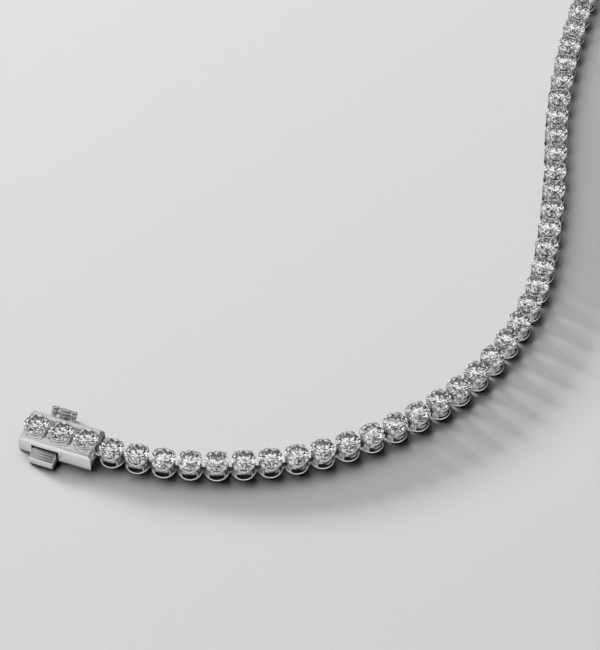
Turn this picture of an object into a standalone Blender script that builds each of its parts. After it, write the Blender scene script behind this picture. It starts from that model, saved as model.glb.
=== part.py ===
"""Tennis bracelet in white metal with round brilliants, unfastened and lying flat.

A hollow box clasp with three stones on top and a hinged safety latch carries a strand of forty
single-stone links, which ends in the plain tongue that goes into the box. The origin is the
middle of the box's underside, +X runs along the box from its mouth to the first link, +Z is up.
"""

import math

import bmesh
import bpy
import numpy as np
from mathutils import Matrix, Vector
from mathutils.geometry import interpolate_bezier

MM = 0.001

# Strand
LINKS = 40
PITCH = 4.1 * MM
STONE_DIAMETER = 3.8 * MM
GIRDLE_HEIGHT = 2.9 * MM

# Round brilliant, as shares of the stone's diameter
CROWN_SHARE = 0.15
PAVILION_SHARE = 0.43
TABLE_SHARE = 0.57
STAR_RING_SHARE = 0.775

# Cup of a link, and of a stone on the box
CUP_SIDES = 12
CUP_DIAMETER = 3.68 * MM
CUP_WALL = 0.32 * MM
PRONG_FLARE = 0.12 * MM
PRONG_DROP = 0.03 * MM
SCALLOP_DEPTH = 0.5 * MM
SILL_HEIGHT = 0.42 * MM
WINDOW_HEIGHT = 0.92 * MM

# Lug of a link, the crossbar that it swings on, and the notch that it goes in by
LUG_HEIGHT = 0.8 * MM
LUG_THICKNESS = 0.4 * MM
LUG_WALL = 0.24 * MM
LUG_NECK = 0.6 * MM
BAR_DIAMETER = 0.34 * MM
WIRE_SIDES = 5
BAR_CLEARANCE = 0.2 * MM
BAR_INSET = 0.56 * MM
NOTCH_CLEARANCE = 0.26 * MM

# Box clasp
BOX_LENGTH = 11.9 * MM
BOX_WIDTH = 5.9 * MM
BOX_HEIGHT = 3.15 * MM
BOX_RIM = 0.45 * MM
BOX_WALL = 0.4 * MM
BOX_PLATE = 1.1 * MM
BOX_FLOOR = 0.35 * MM
BOX_STONES = 3
BOX_STONE_PITCH = 4.1 * MM
BOX_STONE_INSET = 1.85 * MM
BOX_STONE_LIFT = 0.6 * MM
BOX_SEAT_WALL = 0.75 * MM

# Safety latch, on a hinge behind the box
LATCH_LENGTH = 3.9 * MM
LATCH_MIDDLE = -1.6 * MM
LATCH_PROUD = 1.95 * MM
LIP_HEIGHT = 1.95 * MM
LIP_SLOPE = 0.3 * MM
LIP_ROUND = 0.35 * MM
STRAP_WIDTH = 1.9 * MM
STRAP_THICKNESS = 0.4 * MM
BARREL_DIAMETER = 1.2 * MM
BARREL_BORE = 0.72 * MM
BARREL_OUT = 1.95 * MM
BARREL_HEIGHT = 1.7 * MM
PIN_DIAMETER = 0.48 * MM
PIN_STAND_OUT = 0.15 * MM
KNUCKLE_GAP = 0.15 * MM
LEAF_THICKNESS = 0.4 * MM
ROUND_SIDES = 10
MOVING_GAP = 0.3 * MM

# Tongue
TONGUE_LENGTH = 8.8 * MM
TONGUE_WIDTH = 3.2 * MM
TONGUE_THICKNESS = 0.75 * MM
TONGUE_NOSE = 1.4 * MM
FORK_LENGTH = 1.1 * MM

# Route of the strand: stone centres along it after the box, every third link, x and y in millimetres
ROUTE = [
    (16.2, 1.2),
    (27.7, 4.9),
    (38.4, 11.0),
    (47.4, 19.6),
    (54.4, 29.7),
    (58.6, 41.3),
    (59.8, 53.4),
    (58.1, 65.6),
    (55.4, 77.4),
    (52.1, 89.3),
    (49.8, 101.4),
    (48.5, 113.6),
    (48.1, 126.0),
    (48.4, 138.5),
    (49.2, 151.0),
]
ROUTE_STEPS = 60

OVERLAP = 0.1 * MM


def material(name, colour, metallic, roughness):
    """A plain surface for one kind of piece."""
    made = bpy.data.materials.new(name)
    made.use_nodes = True
    shader = made.node_tree.nodes["Principled BSDF"]
    shader.inputs["Base Color"].default_value = (*colour, 1.0)
    shader.inputs["Metallic"].default_value = metallic
    shader.inputs["Roughness"].default_value = roughness
    return made


def make_object(name, bm, materials):
    """Put a bmesh, in metres, into the scene as one object and free it."""
    bmesh.ops.recalc_face_normals(bm, faces=bm.faces)
    mesh = bpy.data.meshes.new(name)
    bm.to_mesh(mesh)
    bm.free()
    for each in materials:
        mesh.materials.append(each)
    obj = bpy.data.objects.new(name, mesh)
    bpy.context.scene.collection.objects.link(obj)
    return obj


def combine(target, other, operation):
    """Join, cut or keep with another object, then drop that object."""
    boolean = target.modifiers.new(operation.lower(), "BOOLEAN")
    boolean.operation = operation
    boolean.object = other
    depsgraph = bpy.context.evaluated_depsgraph_get()
    made = bpy.data.meshes.new_from_object(target.evaluated_get(depsgraph))
    target.modifiers.clear()
    target.data = made
    bpy.data.objects.remove(other)
    return target


def prism(outline, low, high, axes, hole=None):
    """Extrude an outline along an axis: axes "xzy" reads it as x and z and extrudes along y."""
    place = ["xyz".index(axis) for axis in axes]
    bm = bmesh.new()
    ends = []
    for depth in (low, high):
        rings = []
        for loop in (outline, hole or []):
            ring = []
            for first, second in loop:
                corner = Vector((0, 0, 0))
                corner[place[0]], corner[place[1]], corner[place[2]] = first, second, depth
                ring.append(bm.verts.new(corner))
            rings.append(ring)
        if hole:
            edges = [bm.edges.new((ring[i - 1], ring[i])) for ring in rings for i in range(len(ring))]
            bmesh.ops.triangle_fill(bm, edges=edges)
        else:
            bm.faces.new(rings[0])
        ends.append(rings)
    for below, above in zip(*ends):
        for i in range(len(below)):
            bm.faces.new((below[i - 1], below[i], above[i], above[i - 1]))
    return bm


def block(low, high):
    """A box between two corners."""
    outline = [(low[0], low[1]), (high[0], low[1]), (high[0], high[1]), (low[0], high[1])]
    return prism(outline, low[2], high[2], "xyz")


def arc(centre, radius, start, end, steps):
    """Points on an arc, angles in degrees, both ends included."""
    angles = np.radians(np.linspace(start, end, steps + 1))
    return [(centre[0] + radius * math.cos(a), centre[1] + radius * math.sin(a)) for a in angles]


def rod(centre, diameter, low, high, axes, sides=ROUND_SIDES):
    """A round bar, as a prism of equal sides."""
    return prism(arc(centre, diameter / 2, 0, 360, sides)[:-1], low, high, axes)


def brilliant(girdle_height):
    """A round brilliant: table, 8 stars, 8 kites, 16 upper halves, and a pavilion of 16 facets."""
    radius = STONE_DIAMETER / 2
    crown = CROWN_SHARE * STONE_DIAMETER
    table = TABLE_SHARE * radius
    ring = STAR_RING_SHARE * radius
    # The star points lie in the planes of the kites, which slope from table to girdle.
    fall = (radius - ring * math.cos(math.pi / 8)) / (radius - table)
    bm = bmesh.new()
    culet = bm.verts.new((0, 0, girdle_height - PAVILION_SHARE * STONE_DIAMETER))

    def circle(size, count, turn, height):
        points = []
        for step in range(count):
            angle = 2 * math.pi * (step + turn) / count
            points.append(bm.verts.new((size * math.cos(angle), size * math.sin(angle), height)))
        return points

    girdle = circle(radius, 16, 0, girdle_height)
    stars = circle(ring, 8, 0.5, girdle_height + crown * fall)
    corners = circle(table, 8, 0, girdle_height + crown)
    bm.faces.new(corners)
    for k in range(8):
        after = (k + 1) % 8
        bm.faces.new((corners[k], stars[k], corners[after]))
        bm.faces.new((stars[k - 1], girdle[2 * k], stars[k], corners[k]))
        bm.faces.new((stars[k], girdle[2 * k], girdle[2 * k + 1]))
        bm.faces.new((stars[k], girdle[2 * k + 1], girdle[2 * after]))
    for k in range(16):
        bm.faces.new((culet, girdle[(k + 1) % 16], girdle[k]))
    for face in bm.faces:
        face.material_index = 1
    return bm


def cup(foot, girdle_height, wall, notch_top=None):
    """A turned wall with four prongs, scalloped between them.

    With a notch it is a link's: its prongs flare, it has a window on either side, and the notch
    opens its foot at the end that the lug of the link before comes in by.
    """
    gallery = notch_top is not None
    outer = CUP_DIAMETER / 2
    sill = foot + SILL_HEIGHT
    notch_side = CUP_SIDES // 2 - 1
    bm = bmesh.new()
    posts = []
    for side in range(CUP_SIDES):
        angle = 2 * math.pi * (side + 0.5) / CUP_SIDES
        prong = side % 3 == 1
        top = girdle_height - (PRONG_DROP if prong else SCALLOP_DEPTH)
        levels = [foot, top]
        if gallery and side % 6 in (1, 2, 3, 4):
            levels[1:1] = [sill, sill + WINDOW_HEIGHT]
        elif gallery and side in (notch_side, notch_side + 1):
            levels[1:1] = [notch_top]
        post = []
        for radius in (outer, outer - wall):
            spread = [radius] * (len(levels) - 1) + [radius + (PRONG_FLARE if prong and gallery else 0)]
            turned = [(r * math.cos(angle), r * math.sin(angle), z) for r, z in zip(spread, levels)]
            post.append([bm.verts.new(corner) for corner in turned])
        posts.append(post)

    opened = {side: (1, 2) for side in range(CUP_SIDES) if gallery and side % 6 in (1, 2, 3)}
    if gallery:
        opened[notch_side] = (0, 1)
    for side in range(CUP_SIDES):
        left, right = posts[side], posts[(side + 1) % CUP_SIDES]
        low, high = opened.get(side, (0, 0))
        if side not in opened:
            bands = [(left, right)]
        else:
            cuts = [slice(0, low + 1), slice(high, None)]
            bands = [([line[cut] for line in left], [line[cut] for line in right]) for cut in cuts]
        for here, there in bands:
            if len(here[0]) < 2:
                continue
            for line, facing in zip(here, there):
                bm.faces.new(line + facing[::-1])
            for end in (0, -1):
                bm.faces.new((here[0][end], there[0][end], there[1][end], here[1][end]))
        # The jambs, where an opening meets a whole column.
        for post, beside in ((left, side - 1), (right, side + 1)):
            if side in opened and beside % CUP_SIDES not in opened:
                bm.faces.new((post[0][low], post[0][high], post[1][high], post[1][low]))
    return bm


def lug(start):
    """The flat eye that reaches from a cup's end, at start, round the next link's crossbar."""
    eye = PITCH - bar_offset()
    hole = BAR_DIAMETER + 2 * BAR_CLEARANCE
    outer = hole / 2 + LUG_WALL
    half = LUG_NECK / 2
    spread = math.degrees(math.asin(half / outer))
    outline = [(start, LUG_HEIGHT - half)]
    outline += arc((eye, LUG_HEIGHT), outer, -180 + spread, 180 - spread, 4)
    outline += [(start, LUG_HEIGHT + half)]
    opening = arc((eye, LUG_HEIGHT), hole / 2, 0, 360, WIRE_SIDES)[:-1]
    thickness = LUG_THICKNESS / 2
    return make_object("lug", prism(outline, -thickness, thickness, "xzy", opening), METALS)


def bar_offset():
    """How far a link's crossbar lies from its stone's axis."""
    return CUP_DIAMETER / 2 - BAR_INSET


def stone_seat(name, foot, girdle_height, wall, notch_top=None):
    """A cup with its stone set in it, as one solid."""
    seat = make_object(name, cup(foot, girdle_height, wall, notch_top), METALS)
    return combine(seat, make_object("stone", brilliant(girdle_height), METALS), "UNION")


def make_link():
    """One link: cup, stone, crossbar and lug."""
    inner = CUP_DIAMETER / 2 - CUP_WALL
    eye_top = LUG_HEIGHT + BAR_DIAMETER / 2 + BAR_CLEARANCE + LUG_WALL
    link = stone_seat("link", 0.0, GIRDLE_HEIGHT, CUP_WALL, eye_top + NOTCH_CLEARANCE)
    reach = math.sqrt(inner**2 - bar_offset() ** 2) + CUP_WALL / 2
    bar = rod((-bar_offset(), LUG_HEIGHT), BAR_DIAMETER, -reach, reach, "xzy", WIRE_SIDES)
    combine(link, make_object("bar", bar, METALS), "UNION")
    return combine(link, lug(inner + CUP_WALL / 4), "UNION")


def route_curve(start):
    """Closely spaced points on the smooth curve that leaves the box and passes the route's points."""
    knots = [Vector((start - BOX_STONE_PITCH, 0, 0)), Vector((start, 0, 0))]
    knots += [Vector((x * MM, y * MM, 0)) for x, y in ROUTE]
    dense = []
    for before, here, there, after in zip(knots, knots[1:], knots[2:], [*knots[3:], None]):
        if after is None:
            after = 2 * there - here
        reach = (there - here).length
        leaving = (there - before).normalized() * reach / 3
        arriving = (after - here).normalized() * reach / 3
        dense += interpolate_bezier(here, here + leaving, there - arriving, there, ROUTE_STEPS)[:-1]
    return dense


def along(curve, steps, pitch):
    """Places a pitch apart along a curve, each measured straight from the one before."""
    places = [curve[0]]
    for before, after in zip(curve, curve[1:]):
        if len(places) > steps:
            break
        if (after - places[-1]).length < pitch:
            continue
        near = (before - places[-1]).length
        share = (pitch - near) / ((after - places[-1]).length - near)
        places.append(before.lerp(after, share))
    return places


def last_stone():
    """How far along the box its last stone lies, set in from the end that holds the strand."""
    return BOX_LENGTH / 2 - BOX_STONE_INSET


def make_strand():
    """The links, each turned to the mean of the directions before and after it."""
    places = along(route_curve(last_stone()), LINKS + 1, PITCH)
    pattern = make_link()
    frames = []
    for number in range(1, LINKS + 1):
        ahead = (places[number + 1] - places[number]).normalized()
        behind = (places[number] - places[number - 1]).normalized()
        heading = ahead + behind
        turn = math.atan2(heading.y, heading.x)
        link = bpy.data.objects.new(f"link_{number:02d}", pattern.data)
        link.location = places[number]
        link.rotation_euler = (0, 0, turn)
        bpy.context.scene.collection.objects.link(link)
        frames.append((places[number], turn))
    bpy.data.objects.remove(pattern)
    return frames[-1]


def make_tongue(last_link):
    """The plain tongue: a fork with a crossbar that the last lug holds, and a blade for the box."""
    middle = LUG_HEIGHT
    half = TONGUE_THICKNESS / 2
    side = TONGUE_WIDTH / 2
    root = -BAR_DIAMETER
    nose = FORK_LENGTH + TONGUE_LENGTH
    outline = [
        (root, -side),
        (nose - TONGUE_NOSE, -side),
        (nose, -side + TONGUE_NOSE / 2),
        (nose, side - TONGUE_NOSE / 2),
        (nose - TONGUE_NOSE, side),
        (root, side),
    ]
    blade = make_object("tongue", prism(outline, middle - half, middle + half, "xyz"), [WHITE_GOLD])
    slot_half = LUG_THICKNESS / 2 + NOTCH_CLEARANCE
    slot = block((2 * root, -slot_half, 0), (FORK_LENGTH, slot_half, 2 * middle))
    combine(blade, make_object("slot", slot, []), "DIFFERENCE")
    bar = rod((0, middle), BAR_DIAMETER, -side / 2 - slot_half, side / 2 + slot_half, "xzy", WIRE_SIDES)
    combine(blade, make_object("bar", bar, [WHITE_GOLD]), "UNION")
    place, turn = last_link
    reach = PITCH - bar_offset()
    blade.location = place + Vector((math.cos(turn), math.sin(turn), 0)) * reach
    blade.rotation_euler = (0, 0, turn)
    return blade


def hinge_place():
    """The hinge axis behind the box, as y and z."""
    return BOX_WIDTH / 2 + BARREL_OUT, BARREL_HEIGHT


def knuckle_spans():
    """Where the box's two knuckles lie along the hinge, on either side of the latch's."""
    low = LATCH_MIDDLE - LATCH_LENGTH / 2
    high = LATCH_MIDDLE + LATCH_LENGTH / 2
    gap = STRAP_WIDTH / 2 + KNUCKLE_GAP
    return [(low, LATCH_MIDDLE - gap), (LATCH_MIDDLE + gap, high)]


def make_box():
    """The hollow box, the stones in their cups on it, its two hinge knuckles and its lug."""
    length, width = BOX_LENGTH / 2, BOX_WIDTH / 2
    ceiling = BOX_HEIGHT - BOX_PLATE
    floor_top = STRAP_THICKNESS + MOVING_GAP + BOX_FLOOR
    strap_half = STRAP_WIDTH / 2 + MOVING_GAP
    latch_low = LATCH_MIDDLE - LATCH_LENGTH / 2
    latch_high = LATCH_MIDDLE + LATCH_LENGTH / 2

    body = block((-length, -width, 0), (length, width, BOX_HEIGHT))
    top_edges = [e for e in body.edges if all(v.co.z > BOX_HEIGHT / 2 for v in e.verts)]
    bmesh.ops.bevel(body, geom=top_edges, offset=BOX_RIM, segments=1, affect="EDGES")
    box = make_object("clasp_box", body, METALS)

    inside = width - BOX_WALL
    channel = block((-length - BOX_WALL, -inside, floor_top), (length - BOX_WALL, inside, ceiling))
    combine(box, make_object("channel", channel, METALS), "DIFFERENCE")
    pocket_low = LATCH_MIDDLE + strap_half + BOX_WALL
    pocket = block((pocket_low, -inside, BOX_FLOOR), (length - BOX_WALL, inside, ceiling))
    combine(box, make_object("pocket", pocket, METALS), "DIFFERENCE")
    recess = block(
        (LATCH_MIDDLE - strap_half, -2 * width, -BOX_HEIGHT),
        (LATCH_MIDDLE + strap_half, 2 * width, STRAP_THICKNESS + MOVING_GAP),
    )
    combine(box, make_object("recess", recess, METALS), "DIFFERENCE")
    side_gap = block(
        (latch_low - MOVING_GAP, -2 * width, -BOX_HEIGHT),
        (latch_high + MOVING_GAP, -inside + OVERLAP, LIP_HEIGHT + MOVING_GAP),
    )
    combine(box, make_object("side_gap", side_gap, METALS), "DIFFERENCE")

    girdle = BOX_HEIGHT + BOX_STONE_LIFT
    for number in range(BOX_STONES):
        seat = stone_seat("seat", BOX_HEIGHT - OVERLAP, girdle, BOX_SEAT_WALL)
        seat.data.transform(Matrix.Translation((last_stone() - number * BOX_STONE_PITCH, 0, 0)))
        combine(box, seat, "UNION")

    y, z = hinge_place()
    leaf_low = z - BARREL_DIAMETER / 2
    for low, high in knuckle_spans():
        leaf = block((low, width - BOX_WALL / 2, leaf_low), (high, y, leaf_low + LEAF_THICKNESS))
        combine(box, make_object("leaf", leaf, METALS), "UNION")
        knuckle = rod((y, z), BARREL_DIAMETER, low, high, "yzx")
        combine(box, make_object("knuckle", knuckle, METALS), "UNION")
    bore = rod((y, z), BARREL_BORE, latch_low - BOX_WALL, latch_high + BOX_WALL, "yzx")
    combine(box, make_object("bore", bore, METALS), "DIFFERENCE")

    eye = lug(length - BOX_WALL / 2 - last_stone())
    eye.data.transform(Matrix.Translation((last_stone(), 0, 0)))
    return combine(box, eye, "UNION")


def make_latch():
    """The safety latch: a knuckle, a strap down and under the box, and the thumb lip in front."""
    y, z = hinge_place()
    far = y + BARREL_DIAMETER / 2
    front = -BOX_WIDTH / 2 - LATCH_PROUD
    back = -BOX_WIDTH / 2 + BOX_WALL - MOVING_GAP + OVERLAP
    thick = STRAP_THICKNESS
    strap = [(far, z), (far - thick, z), (far - thick, thick), (back, thick), (back, 0)]
    strap += arc((far - thick, thick), thick, -90, 0, 2)
    low, high = LATCH_MIDDLE - STRAP_WIDTH / 2, LATCH_MIDDLE + STRAP_WIDTH / 2
    latch = make_object("safety_latch", prism(strap, low, high, "yzx"), [WHITE_GOLD])
    knuckle = rod((y, z), BARREL_DIAMETER, low, high, "yzx")
    combine(latch, make_object("knuckle", knuckle, [WHITE_GOLD]), "UNION")
    bore = rod((y, z), BARREL_BORE, low - BOX_WALL, high + BOX_WALL, "yzx")
    combine(latch, make_object("bore", bore, [WHITE_GOLD]), "DIFFERENCE")

    lip = [(back, 0), (back, LIP_HEIGHT)]
    lip += arc((front + LIP_ROUND, LIP_HEIGHT - LIP_SLOPE - LIP_ROUND), LIP_ROUND, 90, 180, 2)
    lip += arc((front + LIP_ROUND, LIP_ROUND), LIP_ROUND, 180, 270, 2)
    lip_low, lip_high = LATCH_MIDDLE - LATCH_LENGTH / 2, LATCH_MIDDLE + LATCH_LENGTH / 2
    thumb = make_object("thumb", prism(lip, lip_low, lip_high, "yzx"), [WHITE_GOLD])
    combine(latch, thumb, "UNION")
    # The object's own origin sits on the hinge axis.
    latch.data.transform(Matrix.Translation((-LATCH_MIDDLE, -y, -z)))
    latch.location = (LATCH_MIDDLE, y, z)
    return latch


def make_pin():
    """The plain pin through the three knuckles."""
    low, high = LATCH_MIDDLE - LATCH_LENGTH / 2, LATCH_MIDDLE + LATCH_LENGTH / 2
    pin = rod(hinge_place(), PIN_DIAMETER, low - PIN_STAND_OUT, high + PIN_STAND_OUT, "yzx")
    return make_object("hinge_pin", pin, [WHITE_GOLD])


for old in list(bpy.data.objects):
    bpy.data.objects.remove(old)

WHITE_GOLD = material("white_gold", (0.83, 0.83, 0.84), 1.0, 0.18)
DIAMOND = material("diamond", (0.9, 0.92, 0.95), 0.0, 0.03)
METALS = [WHITE_GOLD, DIAMOND]

make_box()
make_latch()
make_pin()
make_tongue(make_strand())
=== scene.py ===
"""The tennis bracelet's looks: white gold cups with round brilliants, a box clasp and its safety latch.

Sizes are in millimetres here, and go into the meshes in metres.
"""

import bmesh
import bpy
import numpy as np
from mathutils import Matrix, Vector


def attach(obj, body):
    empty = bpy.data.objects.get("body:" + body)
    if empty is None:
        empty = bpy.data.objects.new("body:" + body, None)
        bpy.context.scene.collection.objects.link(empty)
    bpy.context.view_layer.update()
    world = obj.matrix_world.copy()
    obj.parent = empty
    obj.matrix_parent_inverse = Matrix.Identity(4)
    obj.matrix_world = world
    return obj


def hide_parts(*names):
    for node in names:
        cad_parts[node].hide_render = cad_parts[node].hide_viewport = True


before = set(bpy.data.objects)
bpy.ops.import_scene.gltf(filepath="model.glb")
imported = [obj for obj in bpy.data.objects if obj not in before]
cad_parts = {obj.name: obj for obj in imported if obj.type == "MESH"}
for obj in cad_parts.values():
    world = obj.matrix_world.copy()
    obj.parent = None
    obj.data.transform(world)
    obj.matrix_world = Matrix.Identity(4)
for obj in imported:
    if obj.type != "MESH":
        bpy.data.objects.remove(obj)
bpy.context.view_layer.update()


# Clasp box
# A hollow box of white gold sheet, soldered at its edges, with its top edges filed to a bevel and polished.
# The tongue goes in at its open end. Its underside and near wall are relieved for the latch's strap and lip.

MM = 0.001
BOX_LENGTH = 11.9
BOX_WIDTH = 5.9
BOX_HEIGHT = 3.15
BOX_RIM = 0.45
BOX_CORNER = 0.14
BOX_SWELL = 0.04
BOX_WALL = 0.4
BOX_PLATE = 1.1
BOX_FLOOR = 0.35
MOVING_GAP = 0.3
STRAP_THICKNESS = 0.4
STRAP_WIDTH = 1.9
LATCH_MIDDLE = -1.6
LATCH_LENGTH = 3.9
LIP_HEIGHT = 1.95
LIP_SLOT_DEPTH = 0.1
BOX_STONES = np.array([-4.1, 0.0, 4.1])
WELL_RADIUS = 1.5
WELL_FLOOR = 1.5
WELL_TOP = 4.0
WELL_SIDES = 48
CUT_MARGIN = 1.0
CORNER_STEPS = 6
SWELL_ROWS = 7
EDGE_SOFTNESS = 0.06
SMOOTH_ANGLE = 40
CLOUD_SCALE = 420.0
GRAIN_SCALE = 5200.0
GLOSS_SPREAD = (0.7, 1.4)
RIPPLE = 0.25
RIPPLE_DEPTH = 0.00004
SCRATCH_DEPTH = 0.00001
WARMTH = 0.995


def grid_faces(rows, columns, rows_close=False, columns_close=False):
    """Quads between neighbouring points of a grid. A closed direction joins its last line to its first."""
    row = np.arange(rows if rows_close else rows - 1)[:, None]
    column = np.arange(columns if columns_close else columns - 1)[None, :]
    next_row = (row + 1) % rows
    next_column = (column + 1) % columns
    corners = np.broadcast_arrays(
        row * columns + column,
        row * columns + next_column,
        next_row * columns + next_column,
        next_row * columns + column,
    )
    return np.stack(corners, axis=-1).reshape(-1, 4).tolist()


def stand(name, data):
    """Make an object of a mesh, light or camera and put it in the scene."""
    made = bpy.data.objects.new(name, data)
    bpy.context.scene.collection.objects.link(made)
    return made


def put(name, points, faces, finish=None):
    """Make an object of points and faces, merge its doubled points and turn its faces outwards."""
    mesh = bpy.data.meshes.new(name)
    mesh.from_pydata((np.reshape(points, (-1, 3)) * MM).tolist(), [], faces)
    whole = bmesh.new()
    whole.from_mesh(mesh)
    bmesh.ops.remove_doubles(whole, verts=whole.verts, dist=1e-7)
    bmesh.ops.recalc_face_normals(whole, faces=whole.faces)
    whole.to_mesh(mesh)
    whole.free()
    if finish:
        mesh.materials.append(finish)
    return stand(name, mesh)


def settle(piece):
    """Make a piece's modifiers part of its mesh."""
    graph = bpy.context.evaluated_depsgraph_get()
    mesh = bpy.data.meshes.new_from_object(piece.evaluated_get(graph))
    piece.modifiers.clear()
    piece.data = mesh
    return piece


def combine(piece, other, operation):
    """Join or cut a piece with another one, which is then dropped."""
    boolean = piece.modifiers.new(operation, "BOOLEAN")
    boolean.operation = operation
    boolean.object = other
    settle(piece)
    bpy.data.objects.remove(other)
    return piece


def finish_smooth(piece):
    """Shade a piece smooth except over its sharp edges."""
    piece.data.shade_smooth()
    piece.data.set_sharp_from_angle(angle=np.radians(SMOOTH_ANGLE))
    return piece


def soften(piece, width, angle=35):
    """Round every edge sharper than an angle, as polishing does."""
    bevel = piece.modifiers.new("soft edges", "BEVEL")
    bevel.width = width * MM
    bevel.segments = 2
    bevel.limit_method = "ANGLE"
    bevel.angle_limit = np.radians(angle)
    bevel.use_clamp_overlap = True
    return finish_smooth(settle(piece))


def gather(name, pieces, *more_finishes):
    """Join several meshes, unchanged, into one piece, with the first one's finish and any more."""
    whole = bmesh.new()
    for each in pieces:
        whole.from_mesh(each.data)
    mesh = bpy.data.meshes.new(name)
    whole.to_mesh(mesh)
    whole.free()
    for finish in (pieces[0].data.materials[0], *more_finishes):
        mesh.materials.append(finish)
    for each in pieces:
        bpy.data.objects.remove(each)
    return stand(name, mesh)


def paint_shade(part, shaded):
    """Give the second finish, the painted shade, to the faces whose middle and direction the rule shaded
    picks.
    """
    for face in part.data.polygons:
        if shaded(np.array(face.center) / MM, np.array(face.normal)):
            face.material_index = 1
    return part


def block(low, high, corner=0.0, rim=0.0, swell=0.0):
    """A box with corners rounded in plan and its top edge bevelled.

    Each level is a rectangle with quarter circles for corners, drawn in by that level's inset.
    Its walls can swell by a parabola over their height.
    """
    low, high = np.array(low, float), np.array(high, float)
    steps = CORNER_STEPS if corner else 0
    turn = np.tile(np.linspace(0, np.pi / 2, steps + 1) if corner else np.zeros(1), 4)
    turn = turn + np.repeat(np.arange(4) * np.pi / 2, steps + 1)
    rise = np.linspace(0, 1, SWELL_ROWS if swell else 2)
    inset = np.append(-swell * (1 - (2 * rise - 1) ** 2), [rim] if rim else [])[:, None]
    height = np.append(low[2] + (high[2] - rim - low[2]) * rise, [high[2]] if rim else [])[:, None]
    middle, half = (low + high) / 2, (high - low) / 2
    side_x = np.repeat([1, -1, -1, 1], steps + 1)
    side_y = np.repeat([1, 1, -1, -1], steps + 1)
    x = middle[0] + side_x * (half[0] - corner - inset) + corner * np.cos(turn)
    y = middle[1] + side_y * (half[1] - corner - inset) + corner * np.sin(turn)
    points = np.stack(np.broadcast_arrays(x, y, height), axis=-1)
    rows, columns = points.shape[:2]
    faces = grid_faces(rows, columns, columns_close=True)
    faces += [list(range(columns))[::-1], list(range((rows - 1) * columns, rows * columns))]
    return points, faces


def turned(radii, heights, sides, closed=True):
    """A profile of radii r and heights h carried round the Z axis: x is r cos a, y is r sin a, z is h."""
    angle = 2 * np.pi * np.arange(sides) / sides
    radii, heights = np.array(radii, float)[:, None], np.array(heights, float)[:, None]
    spread = np.broadcast_arrays(radii * np.cos(angle), radii * np.sin(angle), heights)
    points = np.stack(spread, axis=-1)
    return points.reshape(-1, 3), grid_faces(len(radii), sides, closed, True)


def white_gold(name, roughness, marks=0.0, stretch=(1.0, 1.0, 1.0), tone_and_painted_shade=(0.84, 0.93)):
    """White gold, by its roughness: nearly neutral, its gloss broken by faint marks, with a soft ripple."""
    finish = bpy.data.materials.new(name)
    finish.use_nodes = True
    nodes, links = finish.node_tree.nodes, finish.node_tree.links
    shader = nodes["Principled BSDF"]
    shader.inputs["Metallic"].default_value = 1.0
    place = nodes.new("ShaderNodeTexCoord")
    mapping = nodes.new("ShaderNodeMapping")
    mapping.inputs["Scale"].default_value = stretch
    links.new(place.outputs["Object"], mapping.inputs["Vector"])

    def noise(scale, detail):
        node = nodes.new("ShaderNodeTexNoise")
        node.inputs["Scale"].default_value = scale
        node.inputs["Detail"].default_value = detail
        links.new(mapping.outputs["Vector"], node.inputs["Vector"])
        return node.outputs["Fac"]

    def between(value, low, high):
        node = nodes.new("ShaderNodeMapRange")
        node.inputs["To Min"].default_value = low
        node.inputs["To Max"].default_value = high
        links.new(value, node.inputs["Value"])
        return node.outputs["Result"]

    def bump(height, strength, depth):
        node = nodes.new("ShaderNodeBump")
        node.inputs["Strength"].default_value = strength
        node.inputs["Distance"].default_value = depth
        links.new(height, node.inputs["Height"])
        return node

    cloud, grain = noise(CLOUD_SCALE, 3.0), noise(GRAIN_SCALE, 2.0)
    shade = between(cloud, *tone_and_painted_shade)
    warm = nodes.new("ShaderNodeMath")
    warm.operation = "MULTIPLY"
    warm.inputs[1].default_value = WARMTH
    links.new(shade, warm.inputs[0])
    colour = nodes.new("ShaderNodeCombineColor")
    links.new(shade, colour.inputs["Red"])
    links.new(warm.outputs["Value"], colour.inputs["Green"])
    links.new(warm.outputs["Value"], colour.inputs["Blue"])
    links.new(colour.outputs["Color"], shader.inputs["Base Color"])
    gloss = between(grain, roughness * GLOSS_SPREAD[0], roughness * GLOSS_SPREAD[1])
    links.new(gloss, shader.inputs["Roughness"])

    relief = bump(cloud, RIPPLE, RIPPLE_DEPTH)
    if marks:
        scratch = bump(grain, marks, SCRATCH_DEPTH)
        links.new(relief.outputs["Normal"], scratch.inputs["Normal"])
        relief = scratch
    links.new(relief.outputs["Normal"], shader.inputs["Normal"])
    return finish


polished = white_gold("polished white gold", 0.14)
# Rough white gold: its roughness is an unpolished finish, and its dark tone is painted shade for the box's
# inside, the cups' insides, the lugs and the crossbars.
painted_shade = white_gold("rough white gold painted dark as shade", 0.5, tone_and_painted_shade=(0.08, 0.14))
half_length, half_width = BOX_LENGTH / 2, BOX_WIDTH / 2
inside = half_width - BOX_WALL
strap_ceiling = STRAP_THICKNESS + MOVING_GAP
floor_top = strap_ceiling + BOX_FLOOR
ceiling = BOX_HEIGHT - BOX_PLATE
end = half_length - BOX_WALL
strap_room = STRAP_WIDTH / 2 + MOVING_GAP
strap_start, strap_end = LATCH_MIDDLE - strap_room, LATCH_MIDDLE + strap_room
lip_room = LATCH_LENGTH / 2 + MOVING_GAP
lip_start, lip_end = LATCH_MIDDLE - lip_room, LATCH_MIDDLE + lip_room
lip_back, lip_ceiling = -inside + LIP_SLOT_DEPTH, LIP_HEIGHT + MOVING_GAP

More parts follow.
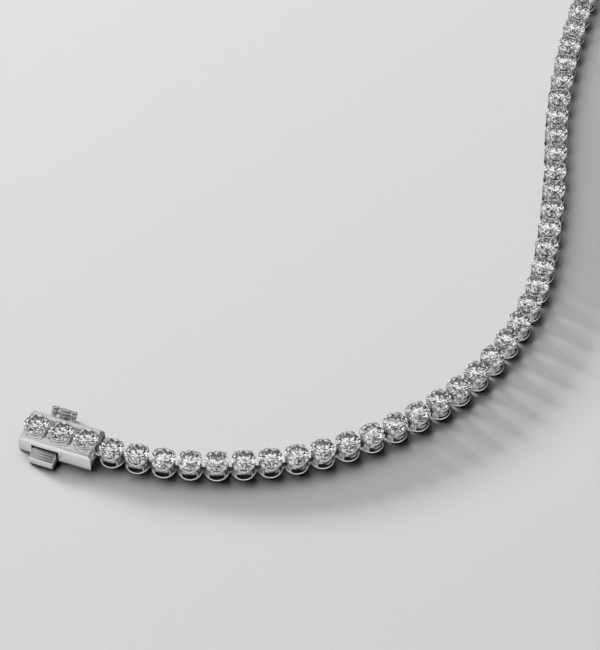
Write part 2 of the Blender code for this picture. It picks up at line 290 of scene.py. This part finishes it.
corners = (-half_length, -half_width, 0), (half_length, half_width, BOX_HEIGHT)
box_body = put("box_body", *block(*corners, BOX_CORNER, BOX_RIM, BOX_SWELL), polished)
CUTS = {
    "channel": ((-half_length - CUT_MARGIN, -inside, floor_top), (end, inside, ceiling)),
    "deep end": ((strap_end + BOX_WALL, -inside, BOX_FLOOR), (end, inside, ceiling)),
    "strap slot": ((strap_start, -2 * half_width, -CUT_MARGIN), (strap_end, 2 * half_width, strap_ceiling)),
    "lip slot": ((lip_start, -2 * half_width, -CUT_MARGIN), (lip_end, lip_back, lip_ceiling)),
}
for name, (low, high) in CUTS.items():
    combine(box_body, put(name, *block(low, high)), "DIFFERENCE")
for middle in BOX_STONES:
    radii, heights = [0, WELL_RADIUS, WELL_RADIUS, 0], [WELL_FLOOR, WELL_FLOOR, WELL_TOP, WELL_TOP]
    points, faces = turned(radii, heights, WELL_SIDES, closed=False)
    combine(box_body, put("well", points + [middle, 0, 0], faces), "DIFFERENCE")
soften(box_body, EDGE_SOFTNESS)


def shaded_in_box(middle, _):
    """Whether a face lies inside the box's own skin, where the painted shade goes."""
    skin = half_length - EDGE_SOFTNESS, half_width - 1.5 * EDGE_SOFTNESS, BOX_HEIGHT - BOX_RIM - EDGE_SOFTNESS
    return np.all(np.abs(middle) < skin)


# The faces inside the box are painted dark, as shade.
paint_shade(box_body, shaded_in_box)


# Cups on the clasp box
# Three low turned cups of white gold wire, each on a collar ring soldered to the plate, with four claws.
# Their stones stand a little higher than those of the strand.

STONE_DIAMETER = 3.8
TABLE_SHARE = 0.57
STAR_SHARE = 0.775
LOWER_SHARE = 0.24
CROWN = 0.15 * STONE_DIAMETER
PAVILION = 0.43 * STONE_DIAMETER
BAND = 0.022 * STONE_DIAMETER
SEAT_GROWTH = 1.004
SEAT_SIDES = 63
BOX_GIRDLE = BOX_HEIGHT + 0.6
COLLAR_RADIUS = 1.93
CUP_RADIUS = 1.80
CUP_SIDES = 96
SEAT_RADIUS = 1.5
SOLDER = 0.02
CLAW_ANGLES = np.radians([45, 135, 225, 315])
CLAW_ROUTE = np.array([
    (1.75, -2.72), (1.78, -1.2), (1.76, -0.45), (2.12, -0.15), (2.03, 0.38), (1.42, 0.44),
])
BOX_CLAW_FEET = [-0.5, -0.45]
BOX_CLAW_WIDTHS = np.linspace(0.5, 0.56, 6)
BOX_CLAW_THICKNESS = 0.3
CLAW_TAPER = 0.25
CLAW_STEPS = 22
CLAW_SIDES = 12
CLAW_DOME = 0.16


def bezier(controls, share):
    """The curve through the Bernstein sum of its controls, at shares 0 to 1 of its run."""
    last = len(controls) - 1
    ways = np.array([1.0])
    for step in range(1, last + 1):
        ways = np.append(ways, ways[-1] * (last - step + 1) / step)
    power = np.arange(last + 1)
    weight = ways * share[:, None] ** power * (1 - share[:, None]) ** (last - power)
    return weight @ controls


def claw(route, widths, girdle, angle, thickness):
    """A flattened wire carried along a route of radius and height, with a width for each of its controls.

    Its section is an oval wrapped round the cup's axis, and it closes at the tip in half a circle.
    """
    share = np.sin(np.linspace(0, np.pi / 2, CLAW_STEPS))
    middle = bezier(route, share)
    along = np.gradient(middle, axis=0)
    along /= np.linalg.norm(along, axis=1, keepdims=True)
    dome = np.sqrt(1 - np.clip((share - 1 + CLAW_DOME) / CLAW_DOME, 0, 1) ** 2)
    wide = bezier(widths, share) / 2 * dome
    thick = thickness / 2 * (1 - CLAW_TAPER * share) * dome
    around = 2 * np.pi * np.arange(CLAW_SIDES) / CLAW_SIDES
    across = wide[:, None] * np.cos(around)
    out = thick[:, None] * np.sin(around)
    radius = middle[:, 0, None] + out * along[:, 1, None]
    height = middle[:, 1, None] - out * along[:, 0, None] + girdle
    turn = angle + across / middle[:, 0, None]
    x, y = radius * np.cos(turn), radius * np.sin(turn)
    faces = grid_faces(CLAW_STEPS, CLAW_SIDES, columns_close=True) + [list(range(CLAW_SIDES))]
    return np.stack([x, y, height], axis=-1), faces


def brilliant(girdle):
    """A round brilliant with 57 facets and a faceted girdle, as rings of corners at steps of 22.5 degrees.

    The star points lie in the planes of the kites, and the lower halves end in the planes of the pavilion's
    mains.
    """
    radius = STONE_DIAMETER / 2
    table, star, lower = TABLE_SHARE * radius, STAR_SHARE * radius, LOWER_SHARE * radius
    slope = np.cos(np.pi / 8)
    ring = np.arange(16) * np.pi / 8
    even, odd = ring[0::2], ring[1::2]
    star_height = CROWN * (radius - star * slope) / (radius - table)
    lower_height = -BAND - PAVILION * (1 - lower * slope / radius)

    def circle(size, angle, height):
        return np.stack([size * np.cos(angle), size * np.sin(angle), np.full(len(angle), height)], axis=-1)

    rings = [
        circle(table, even, CROWN),
        circle(star, odd, star_height),
        circle(radius, ring, 0.0),
        circle(radius, ring, -BAND),
        circle(lower, odd, lower_height),
        np.array([[0, 0, -BAND - PAVILION]]),
    ]
    points = np.concatenate(rings) + [0, 0, girdle + BAND / 2]
    stars, upper, under, low, culet = 8, 16, 32, 48, 56
    side, step = np.arange(8), np.arange(16)
    after, before = (side + 1) % 8, (side - 1) % 8

    def facets(*corners):
        return np.stack(np.broadcast_arrays(*corners), axis=-1).tolist()

    faces = [side.tolist()]
    faces += facets(side, stars + side, after)
    faces += facets(side, stars + before, upper + 2 * side, stars + side)
    faces += facets(stars + side, upper + 2 * side, upper + 2 * side + 1)
    faces += facets(stars + side, upper + 2 * side + 1, upper + 2 * after)
    faces += facets(upper + step, under + step, under + (step + 1) % 16, upper + (step + 1) % 16)
    faces += facets(low + side, under + 2 * side + 1, under + 2 * side)
    faces += facets(low + side, under + 2 * after, under + 2 * side + 1)
    faces += facets(low + side, under + 2 * side, low + before, culet)
    return points, faces


def seated(part, girdle):
    """Cut the seat of a stone out of a part: the stone's own slopes turned round its axis, a hair larger."""
    radius = SEAT_GROWTH * STONE_DIAMETER / 2
    radii = [0, TABLE_SHARE * radius, radius, radius, 0]
    heights = np.array([CROWN, CROWN, 0, -BAND, -BAND - PAVILION]) + BAND / 2 + girdle
    return combine(part, put("seat", *turned(radii, heights, SEAT_SIDES, closed=False)), "DIFFERENCE")


def box_cup(middle):
    """One turned cup with its collar ring and claws, cut out for its stone. The profile goes up outside."""
    foot = BOX_HEIGHT - SOLDER
    rise = BOX_GIRDLE - foot
    radii, heights = zip(
        (SEAT_RADIUS, 0.0),
        (COLLAR_RADIUS - 0.06, 0.0),
        (COLLAR_RADIUS, 0.08),
        (COLLAR_RADIUS - 0.03, 0.15),
        (COLLAR_RADIUS - 0.13, 0.18),
        (CUP_RADIUS - 0.04, 0.22),
        (CUP_RADIUS, 0.6 * rise),
        (CUP_RADIUS + 0.06, rise - 0.06),
        (CUP_RADIUS + 0.02, rise - 0.02),
        (SEAT_RADIUS, rise - 0.02),
    )
    parts = [put("wall", *turned(radii, np.array(heights) + foot, CUP_SIDES), polished)]
    route = CLAW_ROUTE.copy()
    route[:2, 1] = BOX_CLAW_FEET
    for angle in CLAW_ANGLES:
        shape = claw(route, BOX_CLAW_WIDTHS, BOX_GIRDLE, angle, BOX_CLAW_THICKNESS)
        parts.append(put("claw", *shape, polished))
    cup = gather("cup", [seated(part, BOX_GIRDLE) for part in parts])
    cup.data.transform(Matrix.Translation((middle * MM, 0, 0)))
    return cup


box_cups = [finish_smooth(box_cup(middle)) for middle in BOX_STONES]


# Hinge knuckles and first lug
# Two short tubes on leaves, soldered to the far wall of the box, with the latch's tube between them.
# The lug at the other end is a flat eye, which holds the first link by its crossbar.

HINGE_Y = 4.9
HINGE_Z = 1.7
BARREL_RADIUS = 0.6
BARREL_LIP = 0.07
BARREL_EASE = 0.02
BARREL_SIDES = 40
BORE_RADIUS = 0.36
KNUCKLE_GAP = 0.15
LEAF_THICKNESS = 0.32
LEAF_END = 0.15
ROOT_DEPTH = 0.2
LUG_HEIGHT = 0.8
LUG_THICKNESS = 0.4
LUG_WALL = 0.24
LUG_NECK = 0.6
LUG_EASE = 0.06
EYE_SIDES = 48
BAR_RADIUS = 0.17
BAR_CLEARANCE = 0.2
BAR_OFFSET = 1.28
PITCH = 4.1


def knuckle(low, high):
    """A tube along X with rounded rims, as a profile of radii carried round the hinge's axis."""
    radii = [BORE_RADIUS, BARREL_RADIUS - BARREL_LIP, BARREL_RADIUS - BARREL_EASE, BARREL_RADIUS]
    radii += radii[::-1]
    ends = [low, low, low + BARREL_EASE, low + BARREL_LIP]
    ends += [high - BARREL_LIP, high - BARREL_EASE, high, high]
    points, faces = turned(radii, ends, BARREL_SIDES)
    return np.roll(points, 1, axis=1) + [0, HINGE_Y, HINGE_Z], faces


def eye(start):
    """A flat lug from a cup's end round the next link's crossbar.

    Its rim lies at the eye's outer radius, and towards the cup where the ray meets the neck's side or end.
    """
    centre = PITCH - BAR_OFFSET
    hole = np.full(EYE_SIDES, BAR_RADIUS + BAR_CLEARANCE)
    outer = hole + LUG_WALL
    angle = 2 * np.pi * np.arange(EYE_SIDES) / EYE_SIDES
    to_side = LUG_NECK / 2 / np.maximum(np.abs(np.sin(angle)), 1e-6)
    to_end = (centre - start) / np.maximum(-np.cos(angle), 1e-6)
    reach = np.maximum(outer, np.where(np.cos(angle) < 0, np.minimum(to_side, to_end), 0))
    inner_half = [hole, hole + LUG_EASE, reach - LUG_EASE, reach]
    radii = np.stack(inner_half + inner_half[::-1])
    half = LUG_THICKNESS / 2
    ease = half - LUG_EASE
    depth = np.array([-ease, -half, -half, -ease, ease, half, half, ease])[:, None]
    x = centre + radii * np.cos(angle)
    z = LUG_HEIGHT + radii * np.sin(angle)
    points = np.stack(np.broadcast_arrays(x, depth, z), axis=-1)
    return points, grid_faces(len(radii), EYE_SIDES, True, True)


latch_low, latch_high = LATCH_MIDDLE - LATCH_LENGTH / 2, LATCH_MIDDLE + LATCH_LENGTH / 2
middle_half = STRAP_WIDTH / 2 + KNUCKLE_GAP
leaf_low = HINGE_Z - BARREL_RADIUS
leaf_high = leaf_low + LEAF_THICKNESS
hinge_parts = []
for low, high in ((latch_low, LATCH_MIDDLE - middle_half), (LATCH_MIDDLE + middle_half, latch_high)):
    shape = block((low, half_width - ROOT_DEPTH, leaf_low), (high, HINGE_Y - LEAF_END, leaf_high))
    hinge_parts.append(soften(put("leaf", *shape, polished), 0.05))
    hinge_parts.append(put("knuckle", *knuckle(low, high), polished))
points, faces = eye(half_length - ROOT_DEPTH - BOX_STONES[-1])
hinge_parts.append(put("lug", points + [BOX_STONES[-1], 0, 0], faces, polished))

clasp_box = gather("clasp_box_gold", [box_body, *box_cups, *hinge_parts], painted_shade)
finish_smooth(clasp_box)
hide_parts("clasp_box")
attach(clasp_box, "root")


# Brilliants of the clasp
# Three round diamonds with a table, 32 crown facets, 24 pavilion facets and a faceted girdle.
# Each sits in the seat cut for it and is held by its four claws.

DIAMOND_INDEX = 2.418


def diamond(name):
    """Clear diamond: all light passes in, bends strongly and comes back off the pavilion."""
    finish = bpy.data.materials.new(name)
    finish.use_nodes = True
    shader = finish.node_tree.nodes["Principled BSDF"]
    shader.inputs["Base Color"].default_value = (1.0, 1.0, 1.0, 1.0)
    shader.inputs["Roughness"].default_value = 0.0
    shader.inputs["IOR"].default_value = DIAMOND_INDEX
    shader.inputs["Transmission Weight"].default_value = 1.0
    return finish


clear = diamond("diamond")
for number, middle in enumerate(BOX_STONES, 1):
    points, faces = brilliant(BOX_GIRDLE)
    stone = put(f"clasp_stone_{number}", points + [middle, 0, 0], faces, clear)
    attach(stone, "root")


# Hinge pin
# A drawn white gold wire through the three knuckles, its ends filed to a low dome.
# The dome's table holds each ring's share of the radius and its depth from the pin's end.

PIN_RADIUS = 0.24
PIN_STAND_OUT = 0.15
PIN_SIDES = 24
PIN_DOME = np.array([(0.0, 0.0), (0.6, 0.01), (0.9, 0.04), (1.0, 0.09)])

share, depth = PIN_DOME.T
low, high = latch_low - PIN_STAND_OUT, latch_high + PIN_STAND_OUT
radii = PIN_RADIUS * np.append(share, share[::-1])
points, faces = turned(radii, np.append(low + depth, high - depth[::-1]), PIN_SIDES, closed=False)
points = np.roll(points, 1, axis=1) + [0, HINGE_Y, HINGE_Z]
pin = finish_smooth(put("hinge_pin_gold", points, faces, polished))
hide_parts("hinge_pin")
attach(pin, "root")


# Safety latch
# A strap of white gold bent from its knuckle down the far wall and under the box, with a solid thumb lip in
# front. The lip's top is ribbed along its length, so that a nail finds it, and brushed.

LATCH_PROUD = 1.95
STRAP_BEND = 0.3
LIP_FRONT = 1.65
LIP_ROUND = 0.38
RIB_DEPTH = 0.014
RIBS = 4
RIB_STEPS = 8


def carried(outline, low, high):
    """An outline of y and z carried straight along X, and capped."""
    y, z = np.array(outline).T
    x = np.array([[low], [high]])
    points = np.stack(np.broadcast_arrays(x, y, z), axis=-1)
    count = len(y)
    faces = grid_faces(2, count, columns_close=True)
    return points, faces + [list(range(count))[::-1], list(range(count, 2 * count))]


def arc(centre, radius, start, end, steps):
    """Points on an arc, angles in degrees."""
    angle = np.radians(np.linspace(start, end, steps + 1))
    y, z = centre[0] + radius * np.cos(angle), centre[1] + radius * np.sin(angle)
    return np.stack([y, z], axis=-1).tolist()


brushed = white_gold("brushed white gold", 0.26, 0.6, (0.05, 1.0, 1.0))
far = HINGE_Y + BARREL_RADIUS
front = -half_width - LATCH_PROUD
back = -half_width + BOX_WALL - MOVING_GAP + LIP_SLOT_DEPTH
thick = STRAP_THICKNESS
bend = (far - thick - STRAP_BEND, thick + STRAP_BEND)
strap = [(far, HINGE_Z), (far - thick, HINGE_Z), *arc(bend, STRAP_BEND, 0, -90, 4)]
strap += [(back, thick), (back, 0), *arc((far - thick, thick), thick, -90, 0, 6)]
strap_low, strap_high = LATCH_MIDDLE - STRAP_WIDTH / 2, LATCH_MIDDLE + STRAP_WIDTH / 2
latch_parts = [soften(put("strap", *carried(strap, strap_low, strap_high), brushed), 0.05)]
latch_parts.append(put("knuckle", *knuckle(strap_low, strap_high), brushed))
run = np.linspace(0, 1, RIB_STEPS * RIBS + 1)
top_y = back + (front + LIP_ROUND - back) * run
top_z = LIP_HEIGHT + (LIP_FRONT - LIP_HEIGHT) * run - RIB_DEPTH * np.sin(np.pi * RIBS * run) ** 2
lip = [(back, 0), *zip(top_y.tolist(), top_z.tolist())]
lip += arc((front + LIP_ROUND, LIP_FRONT - LIP_ROUND), LIP_ROUND, 90, 180, 6)[1:]
lip += arc((front + LIP_ROUND, LIP_ROUND), LIP_ROUND, 180, 270, 6)
latch_parts.append(soften(put("lip", *carried(lip, latch_low, latch_high), brushed), 0.07, angle=50))
latch = finish_smooth(gather("safety_latch_gold", latch_parts))
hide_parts("safety_latch")
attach(latch, "latch")


# Cups of the strand
# Forty cups of white gold, each a turned wall scalloped between four claws, with a window on either side.
# A crossbar is soldered across one end and a flat lug to the other, and each link swings on the next.

GIRDLE_HEIGHT = 2.9
GIRDLE_PROUD = 0.02
SCALLOP = 0.56
SCALLOP_SOFTNESS = 0.2
CLAW_WIDTHS = np.array([0.3, 0.25, 1.1, 1.3, 0.4, 0.45])
CLAW_THICKNESS = 0.26
WALL = 0.3
WALL_COLUMNS = 144
WALL_ROWS = ((0.15, -0.02), (0.5, 0.0), (0.8, 0.02), (0.97, 0.05))
WALL_FOOT = 0.02
RIM_PROUD = 0.06
RIM_DEPTH = 0.1
WINDOW_SILL = 0.36
WINDOW_MIDDLE = 1.1
WINDOW_ENDS = 0.92
WINDOW_HALF = 1.2
WINDOW_SIDES = 56
NOTCH_TOP = 1.7
NOTCH_HALF = 0.46
CUT_START = 0.5
CUT_END = 2.5
# Faces inside a cup and below this height take the painted shade.
SHADE_BELOW = GIRDLE_HEIGHT - 0.6
SKIN = 0.04
BAR_SIDES = 16
LINKS = 40
TOLERANCE = 1e-6


def cup_wall():
    """The closed wall, as a height for each column round the cup and each row up its outside and down inside.

    The top falls between the claws by SCALLOP in a softened V, and the foot is a rounded ring. WALL_ROWS has
    the outside's rows: the share of the way from sill to top, and how far it stands out of the cup's radius.
    """
    angle = 2 * np.pi * np.arange(WALL_COLUMNS) / WALL_COLUMNS
    from_claw = np.abs((angle % (np.pi / 2)) - np.pi / 4) / (np.pi / 4)
    soft, full = np.hypot(1 - from_claw, SCALLOP_SOFTNESS), np.hypot(1, SCALLOP_SOFTNESS)
    top = GIRDLE_HEIGHT - GIRDLE_PROUD - SCALLOP * (full - soft) / (full - SCALLOP_SOFTNESS)
    rim = WINDOW_SILL / 2
    radii, rows = [], []
    for turn in np.radians([-90, -60, -30, 0, 30, 60, 90]):
        radii.append(CUP_RADIUS - RIM_DEPTH + (RIM_PROUD + RIM_DEPTH) * np.cos(turn))
        rows.append(np.full(WALL_COLUMNS, rim + rim * np.sin(turn)))
    for share, proud in WALL_ROWS:
        radii.append(CUP_RADIUS + proud)
        rows.append(WINDOW_SILL + (top - WINDOW_SILL) * share)
    inner = CUP_RADIUS - WALL
    edge = ((CUP_RADIUS + 0.03, 0.015), (CUP_RADIUS - 0.08, 0.0), (inner + 0.03, 0.02), (inner, 0.08))
    for radius, down in edge:
        radii.append(radius)
        rows.append(top - down)
    radii.append(inner)
    rows.append(np.full(WALL_COLUMNS, WALL_FOOT))
    radius, height = np.array(radii)[:, None], np.array(rows)
    points = np.stack(np.broadcast_arrays(radius * np.cos(angle), radius * np.sin(angle), height), axis=-1)
    return points, grid_faces(len(rows), WALL_COLUMNS, True, True)


def window(side):
    """The cutter of a window, as a fourth-power oval in x and z, taller in the middle, carried along Y."""
    turn = 2 * np.pi * (np.arange(WINDOW_SIDES) + 0.5) / WINDOW_SIDES
    across = np.sign(np.cos(turn)) * np.sqrt(np.abs(np.cos(turn)))
    up = np.sign(np.sin(turn)) * np.sqrt(np.abs(np.sin(turn)))
    tall = WINDOW_ENDS + (WINDOW_MIDDLE - WINDOW_ENDS) * (1 - across**2)
    x = WINDOW_HALF * across
    z = WINDOW_SILL + WINDOW_ENDS / 2 * (1 + up) + (tall - WINDOW_ENDS) * np.maximum(up, 0)
    points, faces = carried(np.stack([x, z], axis=-1), CUT_START * side, CUT_END * side)
    return points[..., [1, 0, 2]], faces


def shaded_in_cup(middle, normal):
    """Whether a face lies inside a cup, where the painted shade goes: under its scallops, off its outer skin
    and not facing out.
    """
    radius = np.hypot(middle[0], middle[1])
    out = (middle[:2] @ normal[:2]) / radius
    return middle[2] < SHADE_BELOW and radius < CUP_RADIUS - SKIN and out < 0.5


def crossbar(x, reach, finish):
    """A plain round wire along Y, at a place x and as high as the lugs' eyes."""
    radii, heights = [0, BAR_RADIUS, BAR_RADIUS, 0], [-reach, -reach, reach, reach]
    points, faces = turned(radii, heights, BAR_SIDES, closed=False)
    return put("bar", np.roll(points, 2, axis=1) + [x, 0, LUG_HEIGHT], faces, finish)


def link_cup():
    """The pattern of a link's gold: wall, claws, crossbar and lug, cut out for the stone, with painted shade
    inside the cup and all over the crossbar and lug.
    """
    wall = put("wall", *cup_wall(), polished)
    for side in (-1, 1):
        combine(wall, put("window", *window(side)), "DIFFERENCE")
    notch = block((-CUT_END, -NOTCH_HALF, -1), (-CUT_START, NOTCH_HALF, NOTCH_TOP))
    combine(wall, put("notch", *notch), "DIFFERENCE")
    parts = [soften(wall, 0.04, angle=50)]
    for angle in CLAW_ANGLES:
        shape = claw(CLAW_ROUTE, CLAW_WIDTHS, GIRDLE_HEIGHT, angle, CLAW_THICKNESS)
        parts.append(put("claw", *shape, polished))
    # Faces inside the cup are painted dark, as shade.
    parts = [paint_shade(seated(part, GIRDLE_HEIGHT), shaded_in_cup) for part in parts]
    reach = np.sqrt((CUP_RADIUS - WALL / 2) ** 2 - BAR_OFFSET**2)
    bar = crossbar(-BAR_OFFSET, reach, polished)
    lug = put("lug", *eye(CUP_RADIUS - WALL), polished)
    # The crossbar and lug are painted dark all over, as shade in the gaps between links.
    parts += [paint_shade(part, lambda middle, normal: True) for part in (bar, lug)]
    return finish_smooth(gather("link_pattern", parts, painted_shade))


def link_place(number):
    """Where a link's solid stands: the middle of its stone's table, and the way to the tip of its lug."""
    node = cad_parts[f"link_{number:02d}"]
    points = np.empty(3 * len(node.data.vertices))
    node.data.vertices.foreach_get("co", points)
    points = np.unique(np.round(points.reshape(-1, 3), 7), axis=0)
    middle = points[points[:, 2] > points[:, 2].max() - TOLERANCE].mean(axis=0)[:2]
    reach = np.linalg.norm(points[:, :2] - middle, axis=1)
    way = points[reach > reach.max() - TOLERANCE].mean(axis=0)[:2] - middle
    turn = np.arctan2(way[1], way[0])
    return Matrix.Translation((*middle, 0)) @ Matrix.Rotation(turn, 4, "Z")


def copied(pattern, name, place):
    """A copy of a pattern, with a mesh of its own that stands at a place."""
    mesh = pattern.data.copy()
    mesh.transform(place)
    return stand(name, mesh)


pattern = link_cup()
places = [link_place(number) for number in range(1, LINKS + 1)]
for number, place in enumerate(places, 1):
    cup = copied(pattern, f"cup_{number:02d}", place)
    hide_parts(f"link_{number:02d}")
    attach(cup, "root")
bpy.data.objects.remove(pattern)


# Brilliants of the strand
# Forty round diamonds like those of the clasp, one to a cup.
# The setter drops each in at its own turn, so their facets don't line up along the strand.

turns = np.random.default_rng(5).uniform(0, np.pi / 4, LINKS)
pattern = put("stone_pattern", *brilliant(GIRDLE_HEIGHT), clear)
for number, (place, turn) in enumerate(zip(places, turns), 1):
    stone = copied(pattern, f"stone_{number:02d}", place @ Matrix.Rotation(turn, 4, "Z"))
    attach(stone, "root")
bpy.data.objects.remove(pattern)


# Tongue
# A plain white gold blade with a tapered nose, which slides into the box.
# Its root is forked, and the last lug holds it by a crossbar soldered across the fork.

TONGUE_LENGTH = 8.8
TONGUE_WIDTH = 3.2
TONGUE_THICKNESS = 0.75
TONGUE_NOSE = 1.4
FORK_LENGTH = 1.1
FORK_SLOT = 0.46
FORK_HOLD = 0.3
FORK_CUT_TOP = 2.0

side, half = TONGUE_WIDTH / 2, TONGUE_THICKNESS / 2
nose = FORK_LENGTH + TONGUE_LENGTH
plan = [(-2 * BAR_RADIUS, -side), (nose - TONGUE_NOSE, -side), (nose, -side + TONGUE_NOSE / 2)]
plan += [(nose, side - TONGUE_NOSE / 2), (nose - TONGUE_NOSE, side), (-2 * BAR_RADIUS, side)]
points, faces = carried(plan, LUG_HEIGHT - half, LUG_HEIGHT + half)
blade = put("blade", np.roll(points, 2, axis=-1), faces, brushed)
slot = block((-CUT_MARGIN, -FORK_SLOT, 0), (FORK_LENGTH, FORK_SLOT, FORK_CUT_TOP))
combine(blade, put("slot", *slot), "DIFFERENCE")
soften(blade, 0.08)
tongue = finish_smooth(gather("tongue_gold", [blade, crossbar(0, FORK_SLOT + FORK_HOLD, brushed)]))
tongue.data.transform(places[-1] @ Matrix.Translation(((PITCH - BAR_OFFSET) * MM, 0, 0)))
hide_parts("tongue")
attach(tongue, "root")


# Table, light and camera
# A plain pale surface, here in metres. Two keys shine from the left and behind, a low one for the long shadow
# and a wide high one for its soft edge, with a card and a fill behind. A long lens looks down 51 degrees.

TABLE_SIZE = 3.0
TABLE_GREY = 0.72
MIDDLE = (0.03, 0.05, 0.0)
CAMERA_PLACE = Vector((0.13446, -0.26227, 0.39616))
CAMERA_AIM = Vector((-0.2134, 0.5863, -0.7815))
LENS = 176.6
SENSOR_HEIGHT = 36.0

half = TABLE_SIZE / 2
top = bpy.data.meshes.new("table")
top.from_pydata([(-half, -half, 0), (half, -half, 0), (half, half, 0), (-half, half, 0)], [], [(0, 1, 2, 3)])
pale = bpy.data.materials.new("pale table")
pale.use_nodes = True
shader = pale.node_tree.nodes["Principled BSDF"]
shader.inputs["Base Color"].default_value = (TABLE_GREY, TABLE_GREY, TABLE_GREY, 1)
shader.inputs["Roughness"].default_value = 0.9
shader.inputs["Specular IOR Level"].default_value = 0.1
top.materials.append(pale)
table = stand("table", top)
table.visible_glossy = False


def softbox(name, place, size, power):
    """A rectangular area light at a place, facing the middle of the bracelet."""
    light = bpy.data.lights.new(name, "AREA")
    light.shape = "RECTANGLE"
    light.size, light.size_y = size
    light.energy = power
    made = stand(name, light)
    made.location = place
    made.rotation_euler = (Vector(MIDDLE) - Vector(place)).to_track_quat("-Z", "Y").to_euler()
    return made


# Where each light stands, its size, its power in watts, and whether gloss and stones see it.
LIGHTS = {
    "low key": ((-1.82, 0.61, 0.50), (0.5, 0.3), 62.0, False),
    "high key": ((-1.10, 0.65, 1.53), (1.8, 1.6), 28.5, False),
    "back card": ((-0.12, 0.50, 0.58), (0.70, 0.40), 0.42, True),
    "fill": ((-0.20, 0.45, 0.70), (0.8, 0.5), 0.65, False),
}
for name, (place, size, power, seen) in LIGHTS.items():
    light = softbox(name, place, size, power)
    light.visible_glossy = light.visible_transmission = seen

# The room's ranges: a value's two ends, and the brightness at each. A tilt adds a share of y to the value.
CARD_CELLS = 3.2
CARD_SHARES = (0.4, 0.8, 0.02, 1.3)
CARDS_BY_DEPTH = (0.8, -0.8, 0.6, 1.1)
WALL_BY_DEPTH = (0.6, -0.6, 0.15, 0.80)
OVERHEAD = (0.86, 0.94, 1.0, 0.15)
OVERHEAD_TILT = -0.3
BELOW = (-0.95, -0.65, 0.01, 0.6)
BELOW_TILT = -0.25


def studio():
    """A room that only gloss and stones see, as brightness worked out from the way x, y, z of a ray.

    Its wall is dark behind, pale towards the camera and dark overhead. Below the table it is floor-grey, and
    dark straight down. Light that leaves a stone finds the sky hung with cards instead: each cell has its own
    brightness, a random share spread between faint and bright. Light off the table finds the room dark.
    """
    world = bpy.data.worlds.new("studio")
    world.use_nodes = True
    nodes, links = world.node_tree.nodes, world.node_tree.links

    def calculate(operation, *values):
        node = nodes.new("ShaderNodeMath")
        node.operation = operation
        for socket, value in zip(node.inputs, values):
            if isinstance(value, float):
                socket.default_value = value
            else:
                links.new(value, socket)
        return node.outputs["Value"]

    def spread(value, low, high, at_low, at_high):
        node = nodes.new("ShaderNodeMapRange")
        for name, number in (("From Min", low), ("From Max", high), ("To Min", at_low), ("To Max", at_high)):
            node.inputs[name].default_value = number
        links.new(value, node.inputs["Value"])
        return node.outputs["Result"]

    def choose(factor, first, second):
        node = nodes.new("ShaderNodeMix")
        for name, value in (("Factor", factor), ("A", first), ("B", second)):
            links.new(value, node.inputs[name])
        return node.outputs["Result"]

    place = nodes.new("ShaderNodeTexCoord").outputs["Generated"]
    cells = nodes.new("ShaderNodeTexVoronoi")
    cells.inputs["Scale"].default_value = CARD_CELLS
    links.new(place, cells.inputs["Vector"])
    share = nodes.new("ShaderNodeSeparateColor")
    links.new(cells.outputs["Color"], share.inputs["Color"])
    way = nodes.new("ShaderNodeSeparateXYZ")
    links.new(place, way.inputs["Vector"])
    y, z = way.outputs["Y"], way.outputs["Z"]
    cards = calculate("MULTIPLY", spread(share.outputs["Red"], *CARD_SHARES), spread(y, *CARDS_BY_DEPTH))
    overhead = spread(calculate("MULTIPLY_ADD", y, OVERHEAD_TILT, z), *OVERHEAD)
    wall = calculate("MULTIPLY", spread(y, *WALL_BY_DEPTH), overhead)
    ray = nodes.new("ShaderNodeLightPath").outputs
    sky = choose(ray["Is Transmission Ray"], wall, cards)
    below = spread(calculate("MULTIPLY_ADD", y, BELOW_TILT, z), *BELOW)
    light = choose(calculate("LESS_THAN", z, 0.0), sky, below)
    off_table = calculate("GREATER_THAN", ray["Diffuse Depth"], 0.5)
    light = calculate("MULTIPLY", light, calculate("SUBTRACT", 1.0, off_table))
    links.new(light, nodes["Background"].inputs["Color"])
    bpy.context.scene.world = world
    world.cycles_visibility.diffuse = False


studio()

camera = stand("camera", bpy.data.cameras.new("camera"))
camera.data.sensor_fit = "VERTICAL"
camera.data.sensor_height = SENSOR_HEIGHT
camera.data.lens = LENS
camera.location = CAMERA_PLACE
camera.rotation_euler = CAMERA_AIM.to_track_quat("-Z", "Y").to_euler()
bpy.context.scene.camera = camera
bpy.context.scene.view_settings.view_transform = "Standard"
